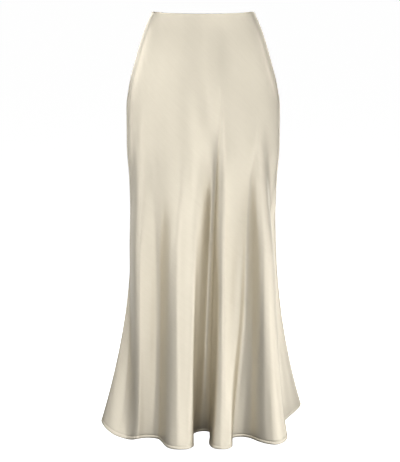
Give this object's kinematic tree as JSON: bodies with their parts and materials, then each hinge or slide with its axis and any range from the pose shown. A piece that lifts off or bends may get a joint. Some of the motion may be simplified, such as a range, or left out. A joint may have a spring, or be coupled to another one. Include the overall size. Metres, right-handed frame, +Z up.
{
  "type": "mermaid fishtail skirt",
  "caption": "Long fitted bias-cut satin skirt that flares from the knee into deep hem folds, held out as if worn, with a concealed side zip.",
  "frame": {"origin": "centre of the waist opening, level with the waist edge at the sides", "axes": "+Z up the body; the front faces -Y; +X is the wearer's left, the side with the zip"},
  "size_m": [0.482, 0.398, 0.9539],
  "materials": {
    "satin": "champagne cream bias-cut satin, soft broad sheen",
    "zip_tape": "matte woven tape",
    "zip_enamel": "cream enamel on zinc"
  },
  "bodies": {
    "skirt": {"front_panel": "satin", "back_panel": "satin", "zip_tape_front": "zip_tape", "zip_tape_back": "zip_tape", "zip_slider": "zip_enamel"},
    "pull": {"zip_pull": "zip_enamel"}
  },
  "joints": [
    {"name": "pull_hinge", "type": "hinge", "parent": "skirt", "child": "pull", "pos_m": [0.11453, 0.01659, -0.00655], "axis": [0.2111, -0.9767, 0.0394], "range_deg": [0, 150]}
  ]
}
